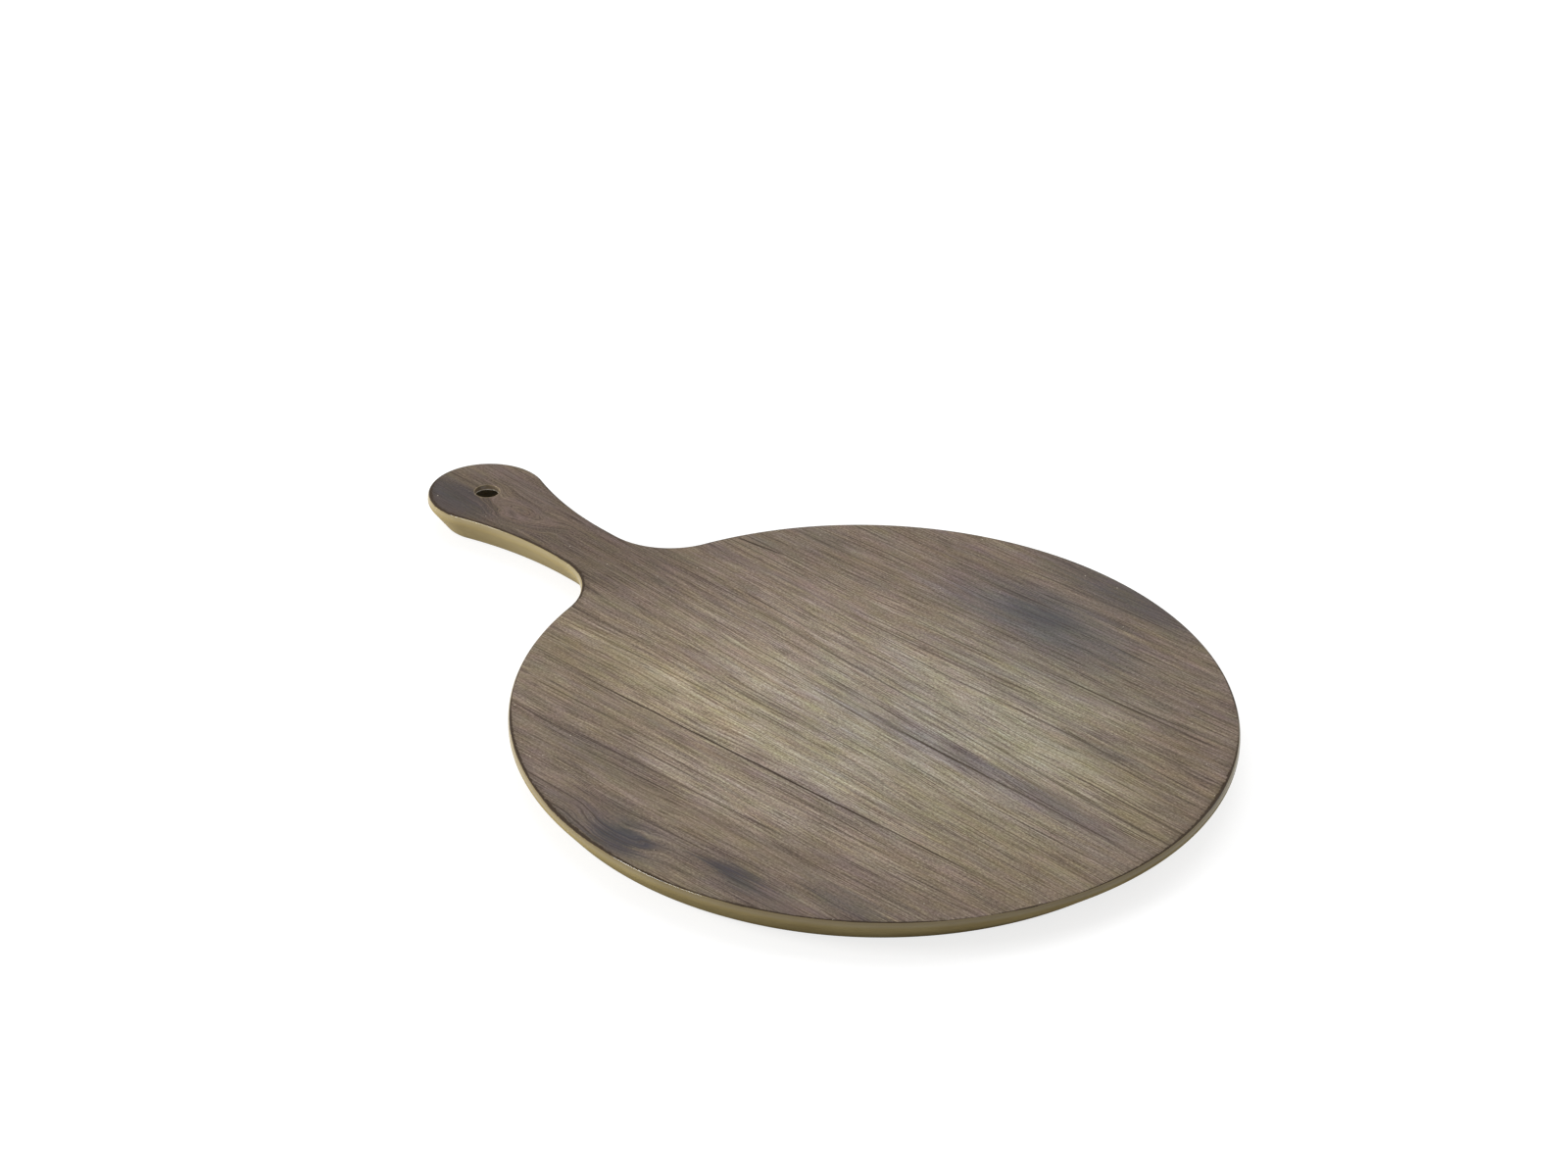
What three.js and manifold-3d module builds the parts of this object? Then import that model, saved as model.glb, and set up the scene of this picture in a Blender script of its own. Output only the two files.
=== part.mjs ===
// Serving paddle: a round board with a waisted handle that ends in a bulb with a hang hole.
// A tan melamine moulding, hollow underneath, carries a wood-effect print under a clear glaze.
// Millimetres, +Z up, handle towards -X. The origin is the middle of the footprint, on the table.

import * as THREE from "three";
import { mergeVertices } from "three/addons/utils/BufferGeometryUtils.js";
import Module from "manifold-3d";

// Plan of the paddle at its widest level, the upright band of the edge
const BOARD_DIAMETER = 305;
const NECK_WIDTH = 32.8;
const NECK_LENGTH = 7.5;
const NECK_FILLET_RADIUS = 33;
const FLANK_RADIUS = 163;
const HANDLE_END_RADIUS = 27.5;

// Section of the wall, from the top face down to the base
const THICKNESS = 16;
const EDGE_ROUND_WIDTH = 1.1;
const EDGE_ROUND_DEPTH = 1.7;
const EDGE_BAND_HEIGHT = 1.5;
const BOARD_UNDERCUT = 9.9;
const HANDLE_UNDERCUT = 8.8;
const BASE_SHIFT = 3.4;
const BASE_CHAMFER = 1;

// Hollow underside
const DECK_THICKNESS = 2;
const RIM_WIDTH = 3.2;
const HOLLOW_DRAFT = 0.6;

// Layers on the deck
const PRINT_THICKNESS = 0.25;
const GLAZE_THICKNESS = 0.25;

// Hang hole, concentric with the handle's round end
const HOLE_DIAMETER = 11.7;

// Fineness of the round stretches, and how far a cutter passes the face that it cuts
const BOARD_STEPS = 120;
const FILLET_STEPS = 10;
const FLANK_STEPS = 8;
const END_STEPS = 36;
const EDGE_STEPS = 3;
const HOLE_STEPS = 40;
const CUT_PAST = 5;

// Levels
const printBottom = THICKNESS - GLAZE_THICKNESS - PRINT_THICKNESS;
const glazeBottom = THICKNESS - GLAZE_THICKNESS;
const bandTop = printBottom - EDGE_ROUND_DEPTH;
const bandFoot = bandTop - EDGE_BAND_HEIGHT;
const hollowTop = printBottom - DECK_THICKNESS;

// Places along the handle, measured from the board's centre
const boardRadius = BOARD_DIAMETER / 2;
const neckHalfWidth = NECK_WIDTH / 2;
const neckStart = leg(boardRadius + NECK_FILLET_RADIUS, neckHalfWidth + NECK_FILLET_RADIUS);
const neckEnd = neckStart + NECK_LENGTH;
const holeReach = neckEnd + leg(FLANK_RADIUS + HANDLE_END_RADIUS, FLANK_RADIUS + neckHalfWidth);
const tipReach = holeReach + HANDLE_END_RADIUS;

const wasm = await Module();
wasm.setup();

// The other short side of a right triangle
function leg(hypotenuse, side) {
  return Math.sqrt(hypotenuse ** 2 - side ** 2);
}

// Points of an arc without its last one, which the next arc starts with
function arcPoints(x, y, radius, from, to, steps) {
  const arc = new THREE.EllipseCurve(x, y, radius, radius, from, to, to < from);
  return arc.getPoints(steps).slice(0, -1);
}

// Plan outline, anticlockwise about the board's centre. The board and the handle are drawn in by their
// own insets, and the board's circle moves towards the handle by shift.
function outline(boardInset, handleInset, shift) {
  const radius = boardRadius - boardInset;
  const halfWidth = neckHalfWidth - handleInset;
  const fillet = NECK_FILLET_RADIUS + handleInset;
  const flank = FLANK_RADIUS + handleInset;
  const end = HANDLE_END_RADIUS - handleInset;

  const filletX = leg(radius + fillet, halfWidth + fillet);
  const boardAngle = Math.PI - Math.atan2(halfWidth + fillet, filletX);
  const flankAngle = Math.atan2(halfWidth + flank, holeReach - neckEnd);

  const down = -Math.PI / 2;
  const filletCentre = [-shift - filletX, halfWidth + fillet];
  const flankCentre = [-neckEnd, halfWidth + flank];
  const upperSide = [
    ...arcPoints(...filletCentre, fillet, boardAngle - Math.PI, down, FILLET_STEPS),
    ...arcPoints(...flankCentre, flank, down, flankAngle - Math.PI, FLANK_STEPS),
  ];
  const handleEnd = arcPoints(-holeReach, 0, end, flankAngle, 2 * Math.PI - flankAngle, END_STEPS);
  const board = arcPoints(-shift, 0, radius, -boardAngle, boardAngle, BOARD_STEPS);
  const lowerSide = upperSide.map((point) => new THREE.Vector2(point.x, -point.y)).reverse();
  const tipStart = handleEnd.shift();
  const lowerTangent = new THREE.Vector2(tipStart.x, -tipStart.y);
  return [...board.slice(1), ...upperSide, tipStart, ...handleEnd, lowerTangent, ...lowerSide];
}

// One level of a loft: an outline at a height
function ring(z, boardInset, handleInset, shift) {
  return outline(boardInset, handleInset, shift).map((point) => new THREE.Vector3(point.x, point.y, z));
}

// Closed skin through rings of equal count, listed from the bottom up
function loft(rings) {
  const count = rings[0].length;
  const position = rings.flat().flatMap((point) => point.toArray());
  const index = [];
  for (let level = 0; level + 1 < rings.length; level += 1) {
    for (let side = 0; side < count; side += 1) {
      const here = level * count + side;
      const next = level * count + ((side + 1) % count);
      index.push(here, next, next + count, here, next + count, here + count);
    }
  }
  const flat = (points) => points.map((point) => new THREE.Vector2(point.x, point.y));
  const top = (rings.length - 1) * count;
  for (const [a, b, c] of THREE.ShapeUtils.triangulateShape(flat(rings[0]), [])) {
    index.push(c, b, a);
  }
  for (const [a, b, c] of THREE.ShapeUtils.triangulateShape(flat(rings.at(-1)), [])) {
    index.push(top + a, top + b, top + c);
  }
  const geometry = new THREE.BufferGeometry();
  geometry.setAttribute("position", new THREE.Float32BufferAttribute(position, 3));
  geometry.setIndex(index);
  return geometry;
}

// Solid for cutting, from a closed geometry
function solid(geometry) {
  const bare = geometry.clone();
  bare.deleteAttribute("normal");
  bare.deleteAttribute("uv");
  const merged = mergeVertices(bare);
  const vertProperties = new Float32Array(merged.attributes.position.array);
  const triVerts = new Uint32Array(merged.index.array);
  return new wasm.Manifold(new wasm.Mesh({ numProp: 3, vertProperties, triVerts }));
}

function geometryOf(manifold) {
  const mesh = manifold.getMesh();
  const geometry = new THREE.BufferGeometry();
  geometry.setAttribute("position", new THREE.BufferAttribute(mesh.vertProperties, 3));
  geometry.setIndex(new THREE.BufferAttribute(mesh.triVerts, 1));
  geometry.computeVertexNormals();
  return geometry;
}

// Outer form of the moulding: chamfered base, undercut skirt, upright band and rounded top edge
function outerForm() {
  const chamferShare = 1 - BASE_CHAMFER / bandFoot;
  const skirtFoot = [BOARD_UNDERCUT, HANDLE_UNDERCUT, BASE_SHIFT].map((reach) => reach * chamferShare);
  const rings = [
    ring(0, BOARD_UNDERCUT + BASE_CHAMFER, HANDLE_UNDERCUT + BASE_CHAMFER, BASE_SHIFT),
    ring(BASE_CHAMFER, ...skirtFoot),
    ring(bandFoot, 0, 0, 0),
  ];
  for (let step = 0; step <= EDGE_STEPS; step += 1) {
    const turn = (step / EDGE_STEPS) * (Math.PI / 2);
    const inset = EDGE_ROUND_WIDTH * (1 - Math.cos(turn));
    rings.push(ring(bandTop + EDGE_ROUND_DEPTH * Math.sin(turn), inset, inset, 0));
  }
  return loft(rings);
}

// Hollow underside: it opens slightly towards the table, and runs through the neck into the handle
function hollow() {
  const boardInset = BOARD_UNDERCUT + RIM_WIDTH;
  const handleInset = HANDLE_UNDERCUT + RIM_WIDTH;
  return loft([
    ring(-CUT_PAST, boardInset, handleInset, BASE_SHIFT),
    ring(0, boardInset, handleInset, BASE_SHIFT),
    ring(hollowTop, boardInset + HOLLOW_DRAFT, handleInset + HOLLOW_DRAFT, BASE_SHIFT),
  ]);
}

function hangHole() {
  const height = THICKNESS + 2 * CUT_PAST;
  const cutter = new THREE.CylinderGeometry(HOLE_DIAMETER / 2, HOLE_DIAMETER / 2, height, HOLE_STEPS);
  cutter.rotateX(Math.PI / 2);
  cutter.translate(-holeReach, 0, THICKNESS / 2);
  return cutter;
}

function mouldedBody() {
  const body = solid(outerForm()).subtract(solid(hollow())).subtract(solid(hangHole()));
  const material = new THREE.MeshStandardMaterial({ color: 0x9a8d68, roughness: 0.25, metalness: 0 });
  const mesh = new THREE.Mesh(geometryOf(body), material);
  mesh.name = "moulded_body";
  return mesh;
}

// A layer with the outline of the flat top face and the hang hole in it
function topLayer(name, thickness, z, material) {
  const shape = new THREE.Shape(outline(EDGE_ROUND_WIDTH, EDGE_ROUND_WIDTH, 0));
  const hole = new THREE.Path();
  hole.absarc(-holeReach, 0, HOLE_DIAMETER / 2, 0, 2 * Math.PI, true);
  shape.holes.push(hole);
  const settings = { depth: thickness, bevelEnabled: false, curveSegments: HOLE_STEPS / 2 };
  const mesh = new THREE.Mesh(new THREE.ExtrudeGeometry(shape, settings), material);
  mesh.name = name;
  mesh.position.z = z;
  return mesh;
}

function woodPrintSheet() {
  const material = new THREE.MeshStandardMaterial({ color: 0x776b5c, roughness: 0.5, metalness: 0 });
  return topLayer("wood_print_sheet", PRINT_THICKNESS, printBottom, material);
}

function clearGlaze() {
  const material = new THREE.MeshStandardMaterial({ color: 0xf4f1ea, roughness: 0.3, metalness: 0 });
  material.transparent = true;
  material.opacity = 0.2;
  return topLayer("clear_glaze", GLAZE_THICKNESS, glazeBottom, material);
}

const paddle = new THREE.Group();
const assembly = new THREE.Group();
assembly.position.x = (tipReach - boardRadius) / 2;
assembly.add(mouldedBody(), woodPrintSheet(), clearGlaze());
paddle.add(assembly);

export default paddle;
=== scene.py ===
"""Serving paddle: a round melamine board with a waisted handle, a hang hole and a wood-effect face.

The tan moulding is a wall section carried round the plan outline. The printed face is drawn from side to
side between the same outline's points, and round the hang hole. Metres, +Z up, handle towards -X.
"""

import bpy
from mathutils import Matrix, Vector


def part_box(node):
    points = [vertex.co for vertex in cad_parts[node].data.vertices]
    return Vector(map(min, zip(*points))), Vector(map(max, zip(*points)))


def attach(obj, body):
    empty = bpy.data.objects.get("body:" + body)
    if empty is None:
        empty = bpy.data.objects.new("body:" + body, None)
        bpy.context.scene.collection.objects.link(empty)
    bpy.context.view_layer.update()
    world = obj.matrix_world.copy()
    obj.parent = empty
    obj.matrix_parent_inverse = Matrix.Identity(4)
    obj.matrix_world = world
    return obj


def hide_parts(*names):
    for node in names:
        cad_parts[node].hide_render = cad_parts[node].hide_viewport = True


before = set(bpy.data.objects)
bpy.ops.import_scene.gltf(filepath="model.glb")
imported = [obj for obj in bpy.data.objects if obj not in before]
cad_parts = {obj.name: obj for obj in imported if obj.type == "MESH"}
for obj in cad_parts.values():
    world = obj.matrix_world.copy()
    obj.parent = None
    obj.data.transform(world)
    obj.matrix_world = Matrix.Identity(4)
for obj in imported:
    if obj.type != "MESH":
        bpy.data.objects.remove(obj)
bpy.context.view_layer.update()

import math
from collections import namedtuple

import bpy
import numpy as np
from bpy.props import FloatProperty, FloatVectorProperty, PointerProperty
from bpy.types import Operator, Panel, PropertyGroup
from mathutils import Matrix, Vector

bl_info = {
    "name": "Serving Paddle",
    "version": (1, 0, 0),
    "blender": (4, 5, 0),
    "location": "3D View > Sidebar > Paddle",
    "description": "Builds a round serving paddle with a wood-effect face, and a plain stage for it",
    "category": "Add Mesh",
}

BODY_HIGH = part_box("moulded_body")[1]
PRINT_LOW, PRINT_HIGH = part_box("wood_print_sheet")
GLAZE_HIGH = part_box("clear_glaze")[1]
# Millimetres in a metre
MM = 1000.0

# Fineness of the outline's stretches, of the section and of the faces
BOARD_STEPS = 170
FILLET_STEPS = 22
NECK_STEPS = 4
FLANK_STEPS = 24
END_STEPS = 44
CORNER_STEPS = 7
EDGE_STEPS = 11
WALL_STEPS = 6
MARGIN_STEPS = 11
HALF_COLUMNS = 14
HOLE_RINGS = 9
# The face's strips run to this many steps before the flank's end, and the rest is drawn round the hole
SPLIT_STEPS = 2
SPLIT = BOARD_STEPS + FILLET_STEPS + NECK_STEPS + FLANK_STEPS - SPLIT_STEPS
# Factors of x and y for the points across a strip, from one side of the outline to the other
ACROSS = np.stack([np.ones(2 * HALF_COLUMNS + 1), np.linspace(-1, 1, 2 * HALF_COLUMNS + 1)], axis=-1)

# Points that agree to this many digits of a metre are one, and faces that meet at more than this are sharp
WELD_DIGITS = 7
SHARP_ANGLE = math.radians(40)
# The most of a straight stretch that one corner's rounding takes
CORNER_SHARE = 0.45
# Rings of the print's worn margin lie closer together towards the edge, by this power
MARGIN_POWER = 1.5
# Distance from the print's edge for points where it doesn't matter
FAR_FROM_EDGE = 1.0

# Torn lip of flash in the hang hole: mean width, the power of the depth that it grows with, and sines by
# height, waves in a turn and phase
FLASH_WIDTH = 0.0005
FLASH_POWER = 6
Wave = namedtuple("Wave", "height count phase")
FLASH_WAVES = (Wave(0.0002, 5, 0.6), Wave(0.00014, 11, 0.0), Wave(0.0001, 23, 0.0))

# The photograph's width and height in pixels, and the camera's sensor in millimetres
PHOTO_WIDTH = 1600
PHOTO_HEIGHT = 1199
SENSOR_WIDTH = 36.0

# Lamps, in metres: the power's setting, width and height, place by the camera's right, away and up on the
# table, and whether reflections show the lamp
Lamp = namedtuple("Lamp", "name power size place mirrored")
LAMPS = (
    Lamp("left_soft_box", "left_light", (0.8, 0.2), (-1.21, -0.52, 0.99), True),
    Lamp("low_card", "low_light", (0.8, 0.2), (-1.19, 0.2, 0.1), False),
    Lamp("right_soft_box", "right_light", (1.2, 1.2), (1.4, 0.9, 0.8), True),
    Lamp("top_soft_box", "top_light", (1.6, 1.6), (0.0, 0.8, 1.6), True),
)
FLOOR_HALF_SIZE = 6.0
# How much of the floor's own shade the eye sees, and the share of its reach where it starts to fade
FLOOR_SHADE = 0.42
FLOOR_FADE_START = 0.4


def number_property(**kind):
    """A maker of one kind of number for the sidebar, from its name, its description and its default."""

    def make(name, description, default):
        return FloatProperty(name=name, description=description, default=default, **kind)

    return make


length_property = number_property(min=0.0, unit="LENGTH", precision=5)
angle_property = number_property(subtype="ANGLE")
pixel_property = number_property(subtype="PIXEL")
power_property = number_property(min=0.0, unit="POWER")
share_property = number_property(min=0.0, max=1.0, subtype="FACTOR")


def colour_property(name, description, default):
    """A colour for the sidebar, given as the 0 to 255 values that a colour picker shows."""
    return FloatVectorProperty(
        name=name,
        description=description,
        default=linear(default),
        size=3,
        min=0.0,
        max=1.0,
        subtype="COLOR",
    )


def linear(picked):
    """Scene-linear colour of a picked one: ((c + 0.055) / 1.055) ** 2.4 for each channel above the toe."""
    shares = [channel / 255 for channel in picked]
    return tuple(s / 12.92 if s <= 0.04045 else ((s + 0.055) / 1.055) ** 2.4 for s in shares)


class PaddlePlan(PropertyGroup):
    """Sizes of the outline, seen from above at its widest level."""

    board_radius: length_property("Board radius", "Radius of the round board", BODY_HIGH.y)
    neck_width: length_property("Neck width", "Width of the handle at its narrowest", 0.0328)
    neck_length: length_property("Neck length", "Straight stretch of the neck", 0.0075)
    neck_fillet: length_property("Neck fillet", "Radius where the board runs into the neck", 0.033)
    flank_radius: length_property("Flank radius", "Radius of the handle's hollow flanks", 0.163)
    end_radius: length_property("End radius", "Radius of the handle's round end", 0.0275)
    hole_radius: length_property("Hole radius", "Radius of the hang hole", 0.00585)


class PaddleSection(PropertyGroup):
    """Sizes of the wall's section, from the printed face down and in under the deck."""

    thickness: length_property("Thickness", "Height of the printed face over the table", GLAZE_HIGH.z)
    print_level: length_property("Print level", "Height of the deck under the print", PRINT_LOW.z)
    edge_width: length_property("Edge width", "Width of the rounded top edge", BODY_HIGH.x - PRINT_HIGH.x)
    edge_depth: length_property("Edge depth", "Depth of the rounded top edge", 0.0022)
    band_height: length_property("Band height", "Upright band under the rounded edge", 0.0015)
    board_undercut: length_property("Board undercut", "How far the board's wall draws in", 0.0099)
    handle_undercut: length_property("Handle undercut", "How far the handle's wall draws in", 0.0088)
    base_shift: length_property("Base shift", "How far the base sits towards the handle", 0.0034)
    base_chamfer: length_property("Base chamfer", "Chamfer round the foot of the wall", 0.001)
    bend_softness: length_property("Bend softness", "Rounding between the band and the skirt", 0.0016)
    foot_softness: length_property("Foot softness", "Rounding of the foot's corners", 0.0007)
    rim_width: length_property("Rim width", "Width of the rim that stands on the table", 0.0032)
    hollow_draft: length_property("Hollow draft", "How much the hollow narrows upwards", 0.0006)
    hollow_fillet: length_property("Hollow fillet", "Rounding of the hollow's wall into the deck", 0.0022)
    deck_thickness: length_property("Deck thickness", "Moulded deck under the print", 0.002)
    print_lap: angle_property("Print lap", "How far the print reaches round the edge", math.radians(20))
    print_margin: length_property("Print margin", "Strip along the edge where the print is worn", 0.005)


class PaddleColours(PropertyGroup):
    """Colours of the moulding and of the print."""

    tan: colour_property("Tan", "Moulded melamine", (143, 129, 92))
    tan_deep: colour_property("Deep tan", "Darker clouds in the moulding", (132, 117, 81))
    # Painted shade laid on the board's rounded edge under the print
    shaded_edge: colour_property("Scorched tan", "Rounded edge of the board under the print", (112, 96, 64))
    burnt_edge: colour_property("Burnt edge", "Ragged dark border of the print", (50, 37, 22))
    wood_dark: colour_property("Wood dark", "Pores, seams and the darkest grain", (52, 40, 30))
    wood_brown: colour_property("Wood brown", "Grey-brown of the rim and the handle", (106, 92, 80))
    wood_mid: colour_property("Wood mid", "Main brown of the print", (138, 123, 107))
    wood_light: colour_property("Wood light", "Yellow-tan of the board's middle", (170, 157, 138))
    wood_pale: colour_property("Wood pale", "Palest fibres", (208, 198, 180))
    mauve: colour_property("Mauve", "Purple-grey cast of some bands", (120, 104, 99))
    olive: colour_property("Olive", "Yellow-green cast of other bands", (140, 128, 100))
    smoke: colour_property("Smoke", "Blue-grey of knots and stains", (62, 60, 63))
    chip: colour_property("Chip", "Bare moulding where the print has chipped", (190, 172, 134))
    # Near-white: the pale flash with a painted highlight of its glint
    flash: colour_property("Flash", "Pale torn lip inside the hang hole", (245, 238, 222))


class PaddleStage(PropertyGroup):
    """Camera, lights and floor."""

    focal_pixels: pixel_property("Focal length", "In pixels of the frame", 3400.0)
    pitch: angle_property("Pitch", "Camera's tilt down", math.radians(30.872))
    roll: angle_property("Roll", "Camera's roll", math.radians(0.864))
    bearing: angle_property("Handle bearing", "From the camera's right towards away", math.radians(134.4))
    distance: length_property("Distance", "From the camera to the middle of the printed board", 1.39345)
    centre_pixel_x: pixel_property("Centre X", "Where that middle appears, from the left", 891.69)
    centre_pixel_y: pixel_property("Centre Y", "Where that middle appears, from the top", 719.45)
    floor: colour_property("Floor", "Plain pale floor", (232, 232, 232))
    floor_glow: share_property("Floor glow", "Whiteness of the seen floor's shade", 0.78)
    shade_reach: length_property("Shade reach", "How far from the middle the floor shows shade", 1.2)
    sky_light: share_property("Sky light", "Light from all round", 0.36)
    left_light: power_property("Left light", "Soft box to the camera's left", 9.0)
    right_light: power_property("Right light", "Soft box behind on the right", 5.0)
    low_light: power_property("Low light", "Bright card low on the left", 14.0)
    top_light: power_property("Top light", "Soft box over the board", 17.0)


def leg(hypotenuse, side):
    """The other short side of a right triangle: sqrt(hypotenuse^2 - side^2)."""
    return np.sqrt(hypotenuse**2 - side**2)


def handle_places(plan):
    """Distances from the board's centre to the neck's end and to the hang hole, by the arcs' tangency."""
    half = plan.neck_width / 2
    neck_start = leg(plan.board_radius + plan.neck_fillet, half + plan.neck_fillet)
    neck_end = neck_start + plan.neck_length
    hole = neck_end + leg(plan.flank_radius + plan.end_radius, plan.flank_radius + half)
    return neck_end, hole


def board_centre(plan):
    """The board's centre on X: the origin is halfway from the far rim to the handle's tip."""
    return (handle_places(plan)[1] + plan.end_radius - plan.board_radius) / 2


def hole_centre(plan):
    """The hang hole's centre on X."""
    return board_centre(plan) - handle_places(plan)[1]


def arc(x, y, radius, start, end, steps):
    """Points (x + r cos a, y + r sin a), a from start to end without the last; one row for each ring."""
    share = np.arange(steps) / steps
    angle = start + (end - start) * share
    return np.stack([x + radius * np.cos(angle), y + radius * np.sin(angle)], axis=-1)


def half_outline(plan, board_inset, handle_inset, shift):
    """The outline's +Y side from the board's far point to the handle's tip, as rings x points x 2.

    Arcs in order, each tangent to the next: board, neck fillet, straight neck, flank and round end. The
    insets draw the board and the handle in by their own amounts; shift moves the board to the handle.
    """
    insets = (board_inset, handle_inset, shift)
    board_inset, handle_inset, shift = (np.reshape(inset, (-1, 1)) for inset in insets)
    neck_end, hole = handle_places(plan)
    radius = plan.board_radius - board_inset
    half = plan.neck_width / 2 - handle_inset
    fillet = plan.neck_fillet + handle_inset
    flank = plan.flank_radius + handle_inset
    fillet_x = leg(radius + fillet, half + fillet)
    turn = np.pi - np.arctan2(half + fillet, fillet_x)
    swing = np.arctan2(half + flank, hole - neck_end)
    neck_share = np.arange(NECK_STEPS) / NECK_STEPS
    neck_x = (-shift - fillet_x) * (1 - neck_share) - neck_end * neck_share
    neck = np.stack([neck_x, half + 0 * neck_x], axis=-1)
    end = plan.end_radius - handle_inset
    tip = np.stack([-hole - end, 0 * end], axis=-1)
    points = np.concatenate(
        [
            arc(-shift, 0, radius, 0, turn, BOARD_STEPS),
            arc(-shift - fillet_x, half + fillet, fillet, turn - np.pi, -np.pi / 2, FILLET_STEPS),
            neck,
            arc(-neck_end, half + flank, flank, -np.pi / 2, swing - np.pi, FLANK_STEPS),
            arc(-hole, 0, end, swing, np.pi, END_STEPS),
            tip,
        ],
        axis=1,
    )
    points[:, 0, 1] = 0
    points[..., 0] += board_centre(plan)
    return points


def closed_outline(half):
    """A whole ring, anticlockwise from above: the +Y side out, and its mirror image back."""
    mirror = half[:, -2:0:-1] * (1, -1)
    return np.concatenate([half, mirror], axis=1)


def hole_loop(half):
    """Loop round the hang hole, anticlockwise: outline from the split row round the tip, then that row."""
    round_end = half[SPLIT:]
    back = round_end[-2::-1] * (1, -1)
    return np.concatenate([round_end, back, half[SPLIT] * ACROSS[1:-1]])


def hole_angles(plan):
    """Angle of each point of the loop about the hang hole, taken from the outline at its widest."""
    loop = hole_loop(half_outline(plan, 0, 0, 0)[0])
    return np.arctan2(loop[:, 1], loop[:, 0] - hole_centre(plan))


def hole_circle(plan, radius):
    """Points round the hang hole's axis, at the loop's angles: (centre + r cos a, r sin a)."""
    angle = hole_angles(plan)
    return np.stack([hole_centre(plan) + radius * np.cos(angle), radius * np.sin(angle)], axis=-1)


# Points as rings x points x 3, whether a ring closes, which side is out, and how far from the print's edge
Grid = namedtuple("Grid", "points wrap flip margin")


def even_grid(points, wrap, flip, margin=FAR_FROM_EDGE):
    """A grid whose points all have one distance from the print's edge."""
    return Grid(points, wrap, flip, np.full(points.shape[:2], margin))


def level(points, z):
    """Flat points lifted to a height."""
    return np.concatenate([points, np.broadcast_to(z, points.shape[:-1])[..., None]], axis=-1)


def face_grids(plan, half, z, flip, margin=FAR_FROM_EDGE):
    """A flat face inside one half outline, with the hang hole left out, as two grids.

    Strips: (x_i, v y_i) with v from -1 to 1 across the board. Round the hole: h + w (q - h), from the
    hole's circle h to the loop point q, with w from 0 to 1 and closer together at the hole.
    """
    strip = half[: SPLIT + 1, None, :] * ACROSS
    inner = hole_circle(plan, plan.hole_radius)
    share = np.linspace(0, 1, HOLE_RINGS)[:, None, None] ** 2
    ringed = inner + (hole_loop(half) - inner) * share
    return [
        even_grid(level(strip, z), wrap=False, flip=not flip, margin=margin),
        even_grid(level(ringed, z), wrap=True, flip=flip, margin=margin),
    ]


def quads(grid, offset):
    """Corner numbers of a grid's faces: each cell's own corner, the next ring, and the next point."""
    rings, count = grid.points.shape[:2]
    number = np.arange(rings * count).reshape(rings, count) + offset
    if grid.wrap:
        number = np.concatenate([number, number[:, :1]], axis=1)
    cell = [number[:-1, :-1], number[1:, :-1], number[1:, 1:], number[:-1, 1:]]
    faces = np.stack(cell, axis=-1).reshape(-1, 4)
    return faces[:, ::-1] if grid.flip else faces


def make_piece(name, grids, material, stands_for):
    """One closed mesh from grids that share their border points.

    Points that agree are welded, and a cell that loses a corner that way becomes a triangle.
    """
    sizes = [grid.points.shape[0] * grid.points.shape[1] for grid in grids]
    offsets = np.concatenate([[0], np.cumsum(sizes)[:-1]])
    faces = np.concatenate([quads(grid, offset) for grid, offset in zip(grids, offsets)])
    points = np.concatenate([grid.points.reshape(-1, 3) for grid in grids])
    margin = np.concatenate([grid.margin.reshape(-1) for grid in grids])
    rounded = np.round(points, WELD_DIGITS) + 0.0
    _, first, number = np.unique(rounded, axis=0, return_index=True, return_inverse=True)
    faces = number.reshape(-1)[faces]
    same_as_next = faces == np.roll(faces, -1, axis=1)
    whole = faces[~same_as_next.any(axis=1)]
    short = same_as_next.sum(axis=1) == 1
    order = (np.argmax(same_as_next[short], axis=1)[:, None] + np.arange(1, 4)) % 4
    triangles = np.take_along_axis(faces[short], order, axis=1)
    mesh = bpy.data.meshes.new(name)
    mesh.from_pydata(points[first].tolist(), [], whole.tolist() + triangles.tolist())
    layer = mesh.attributes.new("margin", "FLOAT", "POINT")
    layer.data.foreach_set("value", margin[first].astype(np.float32))
    mesh.materials.append(material)
    mesh.shade_smooth()
    mesh.set_sharp_from_angle(angle=SHARP_ANGLE)
    if mesh.validate():
        raise RuntimeError(f"{name} has faces that are not valid")
    piece = bpy.data.objects.new(name, mesh)
    bpy.context.scene.collection.objects.link(piece)
    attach(piece, "root")
    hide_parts(*stands_for)


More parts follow.
